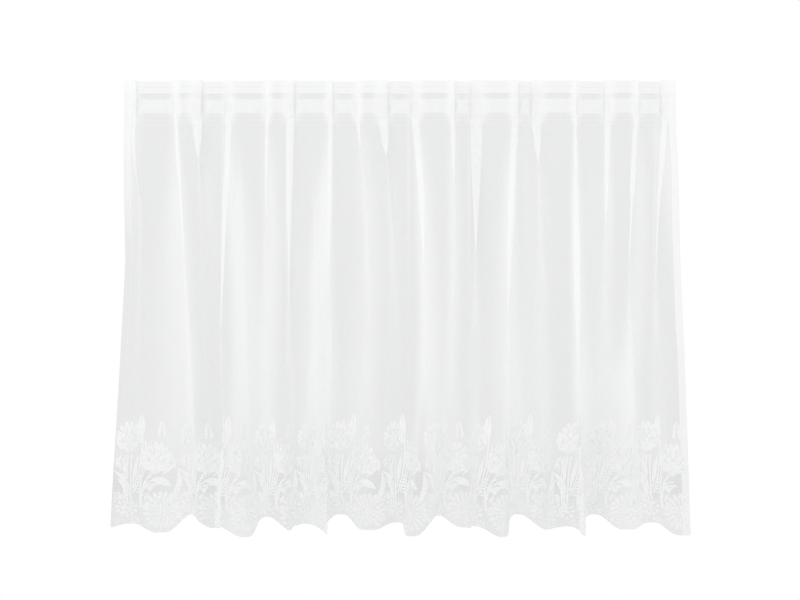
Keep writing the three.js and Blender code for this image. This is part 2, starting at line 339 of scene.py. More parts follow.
def walk(bends, places, left):
    """Runs along the cloth at one height: its place across and through the curtain at each of
    the places along it."""
    knots = [(0, 0)]
    for bend in bends:
        heading = bend["fold"]["turn"] * bend["angle"]
        for side, share in ((-1, 0), (-1, 1), (1, 1), (1, 0)):
            off = bend["crest"] / 2 + bend["turned"] * (1 - share)
            knots.append((bend["centre"] + side * off, heading * share))
    knots.append((FLAT_WIDTH + 1, 0))
    along, heading = np.array(knots).T
    rate = np.diff(heading) / np.diff(along)
    rate = np.where(np.abs(rate) < SLIGHT_RATE, SLIGHT_RATE, rate)
    steps_x = np.diff(np.sin(heading)) / rate
    steps_y = -np.diff(np.cos(heading)) / rate
    straight = np.abs(np.diff(heading)) < SLIGHT_TURN
    steps_x = np.where(straight, np.diff(along) * np.cos(heading[:-1]), steps_x)
    steps_y = np.where(straight, np.diff(along) * np.sin(heading[:-1]), steps_y)
    knot_x = left + np.concatenate([[0], np.cumsum(steps_x)])
    knot_y = np.concatenate([[0], np.cumsum(steps_y)])
    k = np.clip(np.searchsorted(along, places, side="right") - 1, 0, len(along) - 2)
    part = places - along[k]
    turned = heading[k] + rate[k] * part
    x = np.where(
        straight[k],
        part * np.cos(heading[k]),
        (np.sin(turned) - np.sin(heading[k])) / rate[k],
    )
    y = np.where(
        straight[k],
        part * np.sin(heading[k]),
        (np.cos(heading[k]) - np.cos(turned)) / rate[k],
    )
    return knot_x[k] + x, knot_y[k] + y


def section_at(drop, places):
    """One height of the hanging cloth, its folds shared out before and behind one plane."""
    bends = bends_at(drop)
    x, y = walk(bends, places, left_edge(drop))
    centres = np.array([bend["centre"] for bend in bends])
    halves = np.array([bend["half"] for bend in bends])
    before = np.interp(centres - halves, places, y)
    after = np.interp(centres + halves, places, y)
    near = np.exp(-(((places[:, None] - centres) / LEVEL_SPREAD) ** 2) / 2)
    weights = near * (after - before) ** 2
    level = (weights * (before + after) / 2).sum(1) / weights.sum(1)
    return x, y - level


def hem_drop(along):
    """Lower edge: deep and shallow lobes in turn, with a high arch to the right of a deep one
    and a low arch to its left."""
    repeats = (along - FIRST_LOBE) / MOTIF_REPEAT
    nearest = np.round(repeats)
    deep = nearest % 2 == 0
    lobe = np.where(deep, DEEP_LOBE, SHALLOW_LOBE)
    arch = np.where((repeats < nearest) == deep, LOW_ARCH, HIGH_ARCH)
    off = np.abs(repeats - nearest) / LOBE_HALF
    risen = np.clip((off - LOBE_FULL) / (1 - LOBE_FULL), 0, 1)
    return lerp(lobe, arch, risen * risen * (3 - 2 * risen))


def picot_drop(along):
    """The lower edge with its fine scallops."""
    return hem_drop(along) - PICOT_DEPTH * (1 - np.abs(np.sin(np.pi * along / PICOT_WIDTH)))


# The hanging cloth as a table of places, at even steps along it and down it
ALONG_STEP = 2
DROP_STEP = 4
table_along = np.arange(0, FLAT_WIDTH + 1, ALONG_STEP, dtype=float)
table_drop = np.arange(0, DEEP_LOBE + 2 * DROP_STEP, DROP_STEP, dtype=float)

# Slight waves in the hanging cloth: their number, widths, heights and depths, and how far below
# the heading they take to set in
WAVES = 9
WAVE_WIDTHS = (45, 130)
WAVE_HEIGHTS = (180, 520)
WAVE_DEPTHS = (0.25, 0.7)
WAVES_SET_IN = 160


def soft_waves(along, drop):
    """Slight unevenness of hanging voile, which dies out at the heading."""
    rng = random.Random(7)
    depth = np.zeros_like(along)
    for _ in range(WAVES):
        width, height = rng.uniform(*WAVE_WIDTHS), rng.uniform(*WAVE_HEIGHTS)
        phase = 2 * math.pi * (along / width + drop / height * rng.choice((-1, 1)) + rng.random())
        depth += rng.uniform(*WAVE_DEPTHS) * np.sin(phase)
    return depth * np.clip((drop - HEADING_DROP) / WAVES_SET_IN, 0, 1)


def crease_depth(x, drop):
    """How far the slanting ridges stand out towards the room."""
    depth = np.zeros_like(x)
    for crease in creases:
        down = (drop - crease["start_drop"]) / (crease["end_drop"] - crease["start_drop"])
        middle = lerp(crease["start_x"], crease["end_x"], down)
        fade = np.sin(np.pi * np.clip(down, 0, 1)) ** CREASE_TAPER
        depth += crease["height"] * fade * np.exp(-(((x - middle) / crease["width"]) ** 2) / 2)
    return depth


def painted_light_layers(x, drop):
    """Painted highlights and shade, as layers of cloth: those of the pale and dark bands along the
    soft folds, and the painted highlight at the pleats of the heading.
    """
    top, mid, low = BAND_DROPS
    added = np.zeros_like(x)
    for band in painted_fold_bands:
        middle = (
            band["top_x"] * (drop - mid) * (drop - low) / ((top - mid) * (top - low))
            + band["mid_x"] * (drop - top) * (drop - low) / ((mid - top) * (mid - low))
            + band["low_x"] * (drop - top) * (drop - mid) / ((low - top) * (low - mid))
        )
        lean = BAND_LEAN * (drop - low) * np.sign(band["low_x"])
        middle = np.where(drop > low, band["low_x"] + lean, middle)
        down = np.clip((drop - top) / (low - top), 0, 1)
        left = lerp(band["left_top"], band["left_low"], down)
        right = lerp(band["right_top"], band["right_low"], down)
        width = np.where(x < middle, left, right)
        thicks = [band[f"thick_{i + 1}"] for i in range(len(THICK_DROPS))]
        thick = np.interp(drop, THICK_DROPS, thicks)
        added += thick * np.exp(-(((x - middle) / width) ** 2))
    over_lace = 1 - BAND_FADE * np.clip((drop - BAND_FADE_START) / BAND_FADE_LENGTH, 0, 1)
    below_heading = np.clip((drop - TAPE_BOTTOM) / BAND_SETS_IN, 0, 1)
    # Painted highlight: denser cloth at the pleats of the heading
    pleat_highlight = np.interp(drop, PLEAT_DROPS, PLEAT_PAINTED_LAYERS) * pleats_near(x)
    return pleat_highlight + BAND_SHARE * added * over_lace * below_heading


def pleats_near(x):
    """1 at the middle of each pleat of the heading, fading out to both sides."""
    near = np.zeros_like(x)
    for fold in folds:
        if fold["top_take"]:
            width = PLEAT_LEAST + PLEAT_SHARE * fold["top_take"]
            near += np.exp(-(((x - fold["top_x"]) / width) ** 2))
    return np.minimum(near, 1)


def hanging_cloth():
    x, y = np.array([section_at(drop, table_along) for drop in table_drop]).transpose(1, 0, 2)
    along, drop = np.meshgrid(table_along, table_drop)
    y = y + soft_waves(along, drop) - crease_depth(x, drop)
    rise = PLEAT_RISE * pleats_near(x) * np.clip(1 - drop / TAPE_TOP, 0, 1)
    return np.stack([x, y, rise - drop], axis=-1)


cloth = hanging_cloth()


def unit(vectors):
    return vectors / np.maximum(np.linalg.norm(vectors, axis=-1, keepdims=True), 1e-9)


# Normals towards the room
cloth_along = np.gradient(cloth, ALONG_STEP, axis=1)
cloth_down = np.gradient(cloth, DROP_STEP, axis=0)
cloth_normals = unit(np.cross(cloth_down, cloth_along))

# Just over one step short of a table's length, so that a place on its end has a next row or column
TABLE_END = 1.001


def read_table(values, along, drop):
    """Value of a table of the cloth at any place on it."""
    column = np.clip(along / ALONG_STEP, 0, len(table_along) - TABLE_END)
    row = np.clip(drop / DROP_STEP, 0, len(table_drop) - TABLE_END)
    i, j = row.astype(int), column.astype(int)
    v, u = (row - i)[..., None], (column - j)[..., None]
    upper = lerp(values[i, j], values[i, j + 1], u)
    lower = lerp(values[i + 1, j], values[i + 1, j + 1], u)
    return lerp(upper, lower, v)


def on_cloth(along, drop, lift):
    """Places in the room, in metres, of points on the cloth or lifted off its front."""
    base = read_table(cloth, along, drop)
    normals = unit(read_table(cloth_normals, along, drop))
    return (base + normals * np.asarray(lift)[..., None]) * MM


def mesh_object(name, vertices, faces, along, drop, material):
    """A mesh whose UV map "flat" is its place on the flat cloth, in metres."""
    mesh = bpy.data.meshes.new(name)
    mesh.from_pydata(vertices.tolist(), [], faces.tolist())
    flat = mesh.uv_layers.new(name="flat")
    corners = np.zeros(len(mesh.loops), dtype=int)
    mesh.loops.foreach_get("vertex_index", corners)
    places = np.stack([along[corners], -drop[corners]], axis=-1) * MM
    flat.data.foreach_set("uv", places.ravel())
    mesh.polygons.foreach_set("use_smooth", np.ones(len(faces), dtype=bool))
    mesh.materials.append(material)
    mesh.update()
    piece = bpy.data.objects.new(name, mesh)
    bpy.context.scene.collection.objects.link(piece)
    return piece


def set_attribute(piece, name, values):
    layer = piece.data.attributes.new(name, "FLOAT", "POINT")
    layer.data.foreach_set("value", np.asarray(values, dtype=np.float32))


def grid_faces(rows, columns):
    first = (np.arange(rows - 1)[:, None] * columns + np.arange(columns - 1)).ravel()
    return np.stack([first, first + columns, first + columns + 1, first + 1], axis=-1)


# Materials


def add_node(tree, kind, inputs=None, **settings):
    """A node with its settings; its inputs are numbers, colours or other nodes' outputs."""
    node = tree.nodes.new(kind)
    for name, value in settings.items():
        setattr(node, name, value)
    for key, value in (inputs or {}).items():
        if isinstance(value, bpy.types.NodeSocket):
            tree.links.new(value, node.inputs[key])
        else:
            node.inputs[key].default_value = value
    return node


def maths(tree, operation, *values, **settings):
    inputs = dict(enumerate(values))
    return add_node(tree, "ShaderNodeMath", inputs, operation=operation, **settings).outputs[0]


def between(tree, value, low, high):
    """1 where the value lies between two limits."""
    above = maths(tree, "GREATER_THAN", value, low)
    below = maths(tree, "LESS_THAN", value, high)
    return maths(tree, "MULTIPLY", above, below)


def total(tree, *values):
    result = values[0]
    for value in values[1:]:
        result = maths(tree, "ADD", result, value)
    return result


def attribute(tree, name):
    """A value that set_attribute gave to the mesh."""
    return add_node(tree, "ShaderNodeAttribute", attribute_name=name).outputs["Fac"]


def wave(tree, place, length):
    """A sine wave of a given length."""
    return maths(tree, "SINE", maths(tree, "MULTIPLY", place, 2 * math.pi / (length * MM)))


def flat_place(tree):
    """Place on the flat cloth, in metres: along it and below its top."""
    uv = add_node(tree, "ShaderNodeUVMap", uv_map="flat").outputs[0]
    parts = add_node(tree, "ShaderNodeSeparateXYZ", {0: uv})
    return parts.outputs[0], maths(tree, "MULTIPLY", parts.outputs[1], -1)


def threads(tree, along, drop, pitch, slub):
    """Uneven threads that run down the cloth, from 0 to 1. A slub is a thread's even length."""
    place = add_node(
        tree,
        "ShaderNodeCombineXYZ",
        {0: maths(tree, "DIVIDE", along, pitch), 1: maths(tree, "DIVIDE", drop, slub)},
    )
    noise = add_node(
        tree, "ShaderNodeTexNoise", {"Vector": place.outputs[0], "Scale": 1.0, "Detail": 2.0}
    )
    return noise.outputs[0]


# Share of the light that passes straight through the gaps of a single layer of voile
LAYER_CLEAR = 0.32


def sheer_cloth(name, tint, seen_through, layers, height, sheen):
    """Sheer white cloth: more layers of thread let less light straight through. Seen through is
    the share of the light on a single layer of threads that leaves it on its other side."""
    material = bpy.data.materials.new(name)
    material.use_nodes = True
    tree = material.node_tree
    tree.nodes.clear()
    count, relief = layers(tree), height(tree)
    clear = maths(tree, "POWER", LAYER_CLEAR, count)
    density = maths(tree, "SUBTRACT", 1.0, clear)
    passed_on = maths(tree, "DIVIDE", seen_through, maths(tree, "MAXIMUM", count, 1.0))
    bump = add_node(
        tree, "ShaderNodeBump", {"Strength": 0.35, "Distance": 0.0004, "Height": relief}
    )
    face = add_node(
        tree,
        "ShaderNodeBsdfPrincipled",
        {
            "Base Color": (*tint, 1),
            "Roughness": 0.8,
            "Specular IOR Level": 0.25,
            "Sheen Weight": sheen,
            "Sheen Roughness": 0.4,
            "Normal": bump.outputs[0],
        },
    )
    through = add_node(
        tree, "ShaderNodeBsdfTranslucent", {"Color": (*tint, 1), "Normal": bump.outputs[0]}
    )
    threads_shader = add_node(
        tree, "ShaderNodeMixShader", {0: passed_on, 1: face.outputs[0], 2: through.outputs[0]}
    )
    gaps = add_node(tree, "ShaderNodeBsdfTransparent")
    whole = add_node(
        tree,
        "ShaderNodeMixShader",
        {0: density, 1: gaps.outputs[0], 2: threads_shader.outputs[0]},
    )
    add_node(tree, "ShaderNodeOutputMaterial", {0: whole.outputs[0]})
    return material


# In metres: how far apart the threads lie, a thread's even length, a stitch with the gap after it
# and half the width of a row of stitches; and the share of its length that a stitch fills
WARP_PITCH = 0.0009
WEFT_PITCH = 0.0011
SLUB = 0.02
STITCH_LENGTH = 0.0032
STITCH_HALF = 0.0005
STITCH_SHARE = 0.75


def woven(tree):
    """Place along the flat cloth and below its top, and its uneven threads down and across."""
    along, drop = flat_place(tree)
    warp = threads(tree, along, drop, WARP_PITCH, SLUB)
    weft = threads(tree, drop, along, WEFT_PITCH, SLUB)
    return along, drop, warp, weft


def unevenness(tree, warp, weft, strength):
    """How many layers the threads add where they are thick, or take away where they are thin."""
    return maths(
        tree, "MULTIPLY", maths(tree, "SUBTRACT", total(tree, warp, weft), 1.0), strength
    )


def stitches(tree, across_line, along_line, at):
    """A row of machine stitches: short dashes on a line."""
    line = between(tree, across_line, at * MM - STITCH_HALF, at * MM + STITCH_HALF)
    phase = maths(tree, "FRACT", maths(tree, "DIVIDE", along_line, STITCH_LENGTH))
    return maths(tree, "MULTIPLY", line, maths(tree, "LESS_THAN", phase, STITCH_SHARE))


# Lines across the voile, from one drop to another: where its doubled top is creased, and closer
# threads at the foot of the heading
CREASED_LINE = (10.5, 12.5)
CLOSE_LINES = (
    (HEADING_DROP - 1, HEADING_DROP + 0.4),
    (HEADING_DROP - 9, HEADING_DROP - 8),
    (HEADING_DROP + 9, HEADING_DROP + 10),
)

# How far inside an edge it is sewn, the drop at which the left hem no longer shows, and the pitch
# of the bars across the open net
SEAM_INSET = 1.5
LEFT_HEM_END = 320
BAR_PITCH = 7.9

# Layers of cloth that each of these adds
VOILE_UNEVEN = 0.18
TOP_HEM_ADDS = 0.8
CREASE_ADDS = -0.3
CLOSE_LINE_ADDS = 0.22
STITCH_ADDS = 0.3
BAR_ADDS = 0.035
OPEN_NET_TAKES = 0.4


def lines_down(tree, drop, *lines):
    """1 on each line that runs across the cloth from one drop to another."""
    return total(tree, *(between(tree, drop, top * MM, bottom * MM) for top, bottom in lines))


def voile_layers(tree):
    along, drop, warp, weft = woven(tree)
    above_end = maths(
        tree, "SUBTRACT", 1.0, maths(tree, "DIVIDE", drop, LEFT_HEM_END * MM), use_clamp=True
    )
    left_hem = maths(
        tree, "MULTIPLY", maths(tree, "LESS_THAN", along, SIDE_HEM * MM), above_end
    )
    right_hem = maths(tree, "GREATER_THAN", along, (FLAT_WIDTH - SIDE_HEM) * MM)
    top_hem = maths(tree, "LESS_THAN", drop, TOP_HEM * MM)
    close_lines = maths(tree, "MULTIPLY", lines_down(tree, drop, *CLOSE_LINES), weft)
    sewn = total(
        tree,
        stitches(tree, drop, along, TOP_HEM - SEAM_INSET),
        stitches(tree, drop, along, TAPE_TOP + SEAM_INSET),
        stitches(tree, drop, along, TAPE_BOTTOM - SEAM_INSET),
        stitches(tree, along, drop, SIDE_HEM - SEAM_INSET),
        stitches(tree, along, drop, FLAT_WIDTH - SIDE_HEM + SEAM_INSET),
    )
    bars = maths(tree, "MULTIPLY", wave(tree, drop, BAR_PITCH), BAR_ADDS)
    count = total(
        tree,
        1.0,
        unevenness(tree, warp, weft, VOILE_UNEVEN),
        left_hem,
        right_hem,
        maths(tree, "MULTIPLY", top_hem, TOP_HEM_ADDS),
        maths(tree, "MULTIPLY", lines_down(tree, drop, CREASED_LINE), CREASE_ADDS),
        maths(tree, "MULTIPLY", close_lines, CLOSE_LINE_ADDS),
        maths(tree, "MULTIPLY", sewn, STITCH_ADDS),
        maths(
            tree,
            "MULTIPLY",
            attribute(tree, "open_net"),
            maths(tree, "SUBTRACT", bars, OPEN_NET_TAKES),
        ),
        # Painted highlights and shade along the folds and at the pleats of the heading
        attribute(tree, "painted_fold_bands"),
    )
    # Times the painted denser fold sides and the thinner middle layers of pleats
    return maths(tree, "MULTIPLY", count, attribute(tree, "density_with_painted_slope"))


def voile_height(tree):
    _, _, warp, weft = woven(tree)
    return total(tree, warp, weft)


# Layers of voile that a lace thread of density 1 counts for, and how uneven they are
LACE_DENSITY = 1.2
LACE_UNEVEN = 0.8


def lace_layers(tree):
    _, _, warp, weft = woven(tree)
    layers = maths(tree, "ADD", LACE_DENSITY, unevenness(tree, warp, weft, LACE_UNEVEN))
    return maths(tree, "MULTIPLY", attribute(tree, "thread"), layers)


# Pitch of the tape's ribs, its layers of cloth, and how many its ribs and its weft add
RIB_PITCH = 1.8
TAPE_DENSITY = 1.1
RIB_ADDS = 0.12
WEFT_ADDS = 0.2


def tape_layers(tree):
    _, drop, _, weft = woven(tree)
    ribs = maths(tree, "MULTIPLY", wave(tree, drop, RIB_PITCH), RIB_ADDS)
    return total(tree, TAPE_DENSITY, ribs, maths(tree, "MULTIPLY", weft, WEFT_ADDS))


def tape_height(tree):
    _, drop, warp, _ = woven(tree)
    return total(tree, wave(tree, drop, RIB_PITCH), warp)


# Colours of the threads, the shares of light seen through them, and how much sheen they have
CLOTH_TINT = (0.983, 0.990, 0.987)
LACE_TINT = (0.988, 0.994, 0.991)
CLOTH_THROUGH = 0.5
LACE_THROUGH = 0.62
CLOTH_SHEEN = 0.1
LACE_SHEEN = 0.2
voile = sheer_cloth("voile", CLOTH_TINT, CLOTH_THROUGH, voile_layers, voile_height, CLOTH_SHEEN)
lace = sheer_cloth("lace_thread", LACE_TINT, LACE_THROUGH, lace_layers, voile_height, LACE_SHEEN)
tape = sheer_cloth("tape_weave", CLOTH_TINT, CLOTH_THROUGH, tape_layers, tape_height, CLOTH_SHEEN)


# The voile


# How strongly the slope of a fold shows, and the slope past which it shows no more. This is painted
# shading: fold sides turned away from the front get denser threads, so they look brighter in every
# view
FOLD_SHADE = 0.22
STEEPEST = 0.36


def density_with_painted_slope(along, drop):
    """Painted shading of the folds: the threads are drawn denser the more the cloth turns away from
    the room in a fold, as they would look only when seen from the room.
    """
    normals = unit(read_table(cloth_normals, along, drop))
    return 1 + FOLD_SHADE * (1 / np.maximum(np.abs(normals[..., 1]), STEEPEST) - 1)


# Share by which the middle layer of an opening pleat is thinner, how far below the heading this
# takes to set in, and the share of the pleat's length over which it wears off
INNER_THIN = 0.75
INNER_FADE = 25
INNER_END = 0.6


def inner_layer(along, drop):
    """Up to 1 on the middle layer of each pleat that overlaps itself at this height."""
    inner = np.zeros_like(along)
    for bend in bends_at(drop):
        if bend["fold"]["top_take"]:
            left = (bend["fold"]["opens_at"] - drop) / (bend["fold"]["opens_at"] - HEADING_DROP)
            near = np.clip((bend["half"] - np.abs(along - bend["centre"])) / bend["turned"], 0, 1)
            inner += near * clamp(left / INNER_END, 0, 1)
    return inner * clamp((drop - HEADING_DROP) / INNER_FADE, 0, 1)


# How open the ground of the lace is at these heights, from 0, as the voile, to 1, the most open
# net. Below 0 it is closer than the voile.
NET_DROPS = (660, 715, 750, 775, 812, 842, 896)
NET_OPEN = (0, -0.15, 0, 0.75, 0.75, 0, -0.35)


def open_net(drop):
    return np.interp(drop, NET_DROPS, NET_OPEN)


# Rows of the panel's mesh: level ones over the heading and the body, and ones that bend more and
# more towards the lower edge
HEADING_STEP = 8
BODY_TOP = 80
BODY_BOTTOM = 820
BODY_ROWS = 78
HEM_ROWS = 8


def make_panel():
    heading_rows = np.arange(0, BODY_TOP, HEADING_STEP)
    body_rows = np.linspace(BODY_TOP, BODY_BOTTOM, BODY_ROWS)
    hem_shares = np.linspace(1 / HEM_ROWS, 1, HEM_ROWS)
    along = table_along
    rows = [np.full_like(along, drop) for drop in (*heading_rows, *body_rows)]
    rows += [lerp(BODY_BOTTOM, picot_drop(along), share) for share in hem_shares]
    drop = np.array(rows)
    along = np.broadcast_to(along, drop.shape)
    vertices = on_cloth(along, drop, np.zeros_like(drop)).reshape(-1, 3)
    piece = mesh_object(
        "voile_panel", vertices, grid_faces(*drop.shape), along.ravel(), drop.ravel(), voile
    )
    inner = np.array([inner_layer(table_along, row[0]) for row in drop])
    # Painted denser fold sides, times the thinner middle layers of opening pleats
    set_attribute(piece, "density_with_painted_slope", (density_with_painted_slope(along, drop) * (1 - INNER_THIN * inner)).ravel())
    set_attribute(piece, "open_net", open_net(drop).ravel())
    across_room = read_table(cloth, along, drop)[..., 0]
    # Painted highlights and shade along the folds and at the pleats of the heading
    set_attribute(piece, "painted_fold_bands", painted_light_layers(across_room, drop).ravel())
    return piece


TAPE_ROWS = 5


def make_tape():
    drops = np.linspace(TAPE_TOP, TAPE_BOTTOM, TAPE_ROWS)
    along, drop = np.meshgrid(table_along, drops)
    lift = np.full_like(drop, -TAPE_BEHIND)
    vertices = on_cloth(along, drop, lift).reshape(-1, 3)
    return mesh_object(
        "gathering_tape", vertices, grid_faces(*drop.shape), along.ravel(), drop.ravel(), tape
    )


# The lace border


# How far a strip's edges lie off the cloth, and how far from an edge of the cloth a motif ends
EDGE_LIFT = 0.3
EDGE_CLEAR = 1


class Lace:
    """Collects the raised parts of the border: strips of dense thread with a crowned middle."""

    def __init__(self):
        self.strips = []

    def strip(self, axis, widths, thread=1.3, crown=0.5):
        """A strip along an axis of places on the flat cloth, as wide as given at each. Its thread
        is how dense it is."""
        axis = np.array(axis, dtype=float)
        run = unit(np.gradient(axis, axis=0))
        side = np.stack([-run[:, 1], run[:, 0]], axis=-1) * np.asarray(widths)[:, None] / 2
        places = np.stack([axis - side, axis, axis + side], axis=1)
        lifts = np.tile([EDGE_LIFT, EDGE_LIFT + crown, EDGE_LIFT], (len(axis), 1))
        self.strips.append({"places": places, "lifts": lifts, "thread": thread})

    def petal(
        self, base, tip, width, fullest=1.0, bend=0.0, steps=5, thread=1.3, roundness=0.8
    ):
        """A petal or leaf from base to tip. Fullest over 1 sets its widest place nearer the tip,
        and it is rounder the lower its roundness."""
        base, tip = np.array(base, dtype=float), np.array(tip, dtype=float)
        t = np.linspace(0, 1, steps + 1)
        run = tip - base
        normal = np.array([-run[1], run[0]])
        axis = base + run * t[:, None] + normal * (bend * np.sin(np.pi * t))[:, None]
        shape = np.sin(np.pi * np.clip(t, 0.05, 0.95) ** fullest) ** roundness
        self.strip(axis, width * shape, thread, crown=min(0.8, 0.12 * width))

    def stem(self, points, width, steps=10, thread=1.3):
        """A stem that bends smoothly through three places."""
        a, b, c = (np.array(p, dtype=float) for p in points)
        t = np.linspace(0, 1, steps + 1)[:, None]
        bend = 2 * b - (a + c) / 2
        axis = a * (1 - t) ** 2 + 2 * bend * t * (1 - t) + c * t**2
        self.strip(axis, np.linspace(width, width * 0.8, steps + 1), thread, crown=0.4)

    def drop_overhanging(self):
        """Leaves out each strip that reaches past a side edge or too near the lower one."""

        def fits(strip):
            along, drop = strip["places"][..., 0], strip["places"][..., 1]
            above_edge = (drop <= hem_drop(along) - EDGE_CLEAR).all()
            return above_edge and along.min() >= 0 and along.max() <= FLAT_WIDTH

        self.strips = [strip for strip in self.strips if fits(strip)]

    def mesh(self, name, material):
        lifts = np.concatenate([strip["lifts"].ravel() for strip in self.strips])
        places = np.concatenate([strip["places"].reshape(-1, 2) for strip in self.strips])
        along, drop = np.clip(places[:, 0], EDGE_CLEAR, FLAT_WIDTH - EDGE_CLEAR), places[:, 1]
        first = 0
        faces = []
        threads_at = []
        for strip in self.strips:
            faces.append(grid_faces(*strip["lifts"].shape) + first)
            threads_at.append(np.full(strip["lifts"].size, strip["thread"]))
            first += strip["lifts"].size
        vertices = on_cloth(along, drop, lifts)
        piece = mesh_object(name, vertices, np.concatenate(faces), along, drop, material)
        set_attribute(piece, "thread", np.concatenate(threads_at))
        return piece


def polar(centre, angle, radius):
    """A place at an angle from straight up, clockwise, and a distance from a centre."""
    return (centre[0] + radius * math.sin(angle), centre[1] - radius * math.cos(angle))


# Rows of scales on a flower head, from its foot: how far up each lies, how far it fans out to
# either side, as shares of the head's height and half width, and its number of scales
SCALE_COLUMNS = "rise spread count".split()
SCALE_ROWS = [
    (0.36, 0.78, 3),
    (0.50, 0.98, 4),
    (0.63, 1.04, 5),
    (0.76, 0.98, 5),
    (0.88, 0.74, 4),
]
scale_rows = [dict(zip(SCALE_COLUMNS, row)) for row in SCALE_ROWS]


def flower_head(work, foot, width, height, lean, rng):
    """A flower head like an artichoke's: leaves at its foot and rows of scales that fan out."""
    for side in (-0.62, -0.2, 0.2, 0.62):
        tip = polar(foot, lean + side, height * 0.5)
        work.petal(foot, tip, width * 0.2, fullest=1.2, bend=-0.12 * side, thread=1.0)
    for row in scale_rows:
        reach = height * row["rise"]
        spread = math.asin(min(0.95, width / 2 * row["spread"] / reach))
        for i in range(row["count"]):
            side = (i + 0.5) / row["count"] * 2 - 1
            angle = lean + side * spread * rng.uniform(0.95, 1.03)
            start = reach * (1 - 0.16 * side * side)
            length = height * 0.24 * rng.uniform(0.9, 1.08)
            broad = width * row["spread"] / row["count"] * 0.82
            work.petal(
                polar(foot, angle, start - length / 2),
                polar(foot, angle * 1.04, start + length / 2),
                clamp(broad, 5, 10.5),
                fullest=1.3,
                roundness=0.6,
                thread=rng.uniform(1.1, 1.5),
            )


def flame(work, tip, base, width):
    """A long pointed leaf in two halves, its tip turned to the right."""
    for side in (-1, 1):
        work.petal(
            (base[0] + side * width * 0.12, base[1]),
            (tip[0] + side * 0.3, tip[1] + (5 if side > 0 else 0)),
            width * 0.56,
            fullest=0.7,
            bend=side * 0.055 - 0.05,
            steps=8,
            thread=1.6,
        )


def ear(work, foot, length):
    """A small ear of leaflets in pairs."""
    pairs = 5
    for i in range(pairs):
        rise = length * (i + 0.2) / pairs
        for side in (-1, 1):
            start = (foot[0] + side * 1.2, foot[1] - rise)
            tip = polar(start, side * math.radians(50 - 4 * i), 11 - 0.9 * i)
            work.petal(start, tip, 5.2, fullest=1.2, steps=4, thread=1.4)
    work.petal((foot[0], foot[1] - length), (foot[0], foot[1] - length - 7), 5, steps=4)


def comb(work, foot):
    """Short leaflets stacked on the left of a stem, and long curved ones on its right."""
    for i in range(6):
        root = (foot[0] - 1.5 + 0.5 * i, foot[1] - 26 - 6.4 * i)
        work.petal(root, (root[0] - 14, root[1] - 3.5), 3.4, bend=0.18, steps=5)
    for i in range(3):
        reach, rise = 17 + 8 * i, 62 - 9 * i
        work.stem(
            [
                (foot[0] + 1, foot[1] - 30 + 4 * i),
                (foot[0] + 3 + 3 * i, foot[1] - 48 + 3 * i),
                (foot[0] + reach, foot[1] - rise),
            ],
            3.2,
        )


def ring(work, centre, inner, outer, count, width, thread, rng):
    """A ring of petals round a centre."""
    turn = rng.random()
    for i in range(count):
        angle = 2 * math.pi * (i + turn) / count
        reach = outer * rng.uniform(0.96, 1.03)
        start, tip = polar(centre, angle, inner), polar(centre, angle, reach)
        work.petal(start, tip, width, fullest=1.2, steps=6, thread=thread, roundness=0.8)


def dahlia(work, centre, rng):
    """A large round flower in four rings."""
    ring(work, centre, 0.5, 8, 6, 4, 1.2, rng)
    ring(work, centre, 5, 18, 10, 5.2, 1.0, rng)
    ring(work, centre, 13, 29, 15, 6.4, 1.0, rng)
    ring(work, centre, 22, 39, 19, 7.6, 1.0, rng)


def rosette(work, centre, radius, rng):
    """A small round flower."""
    ring(work, centre, 0.5, radius * 0.35, 4, radius * 0.24, 1.1, rng)
    ring(work, centre, radius * 0.4, radius, 8, radius * 0.36, 1.1, rng)


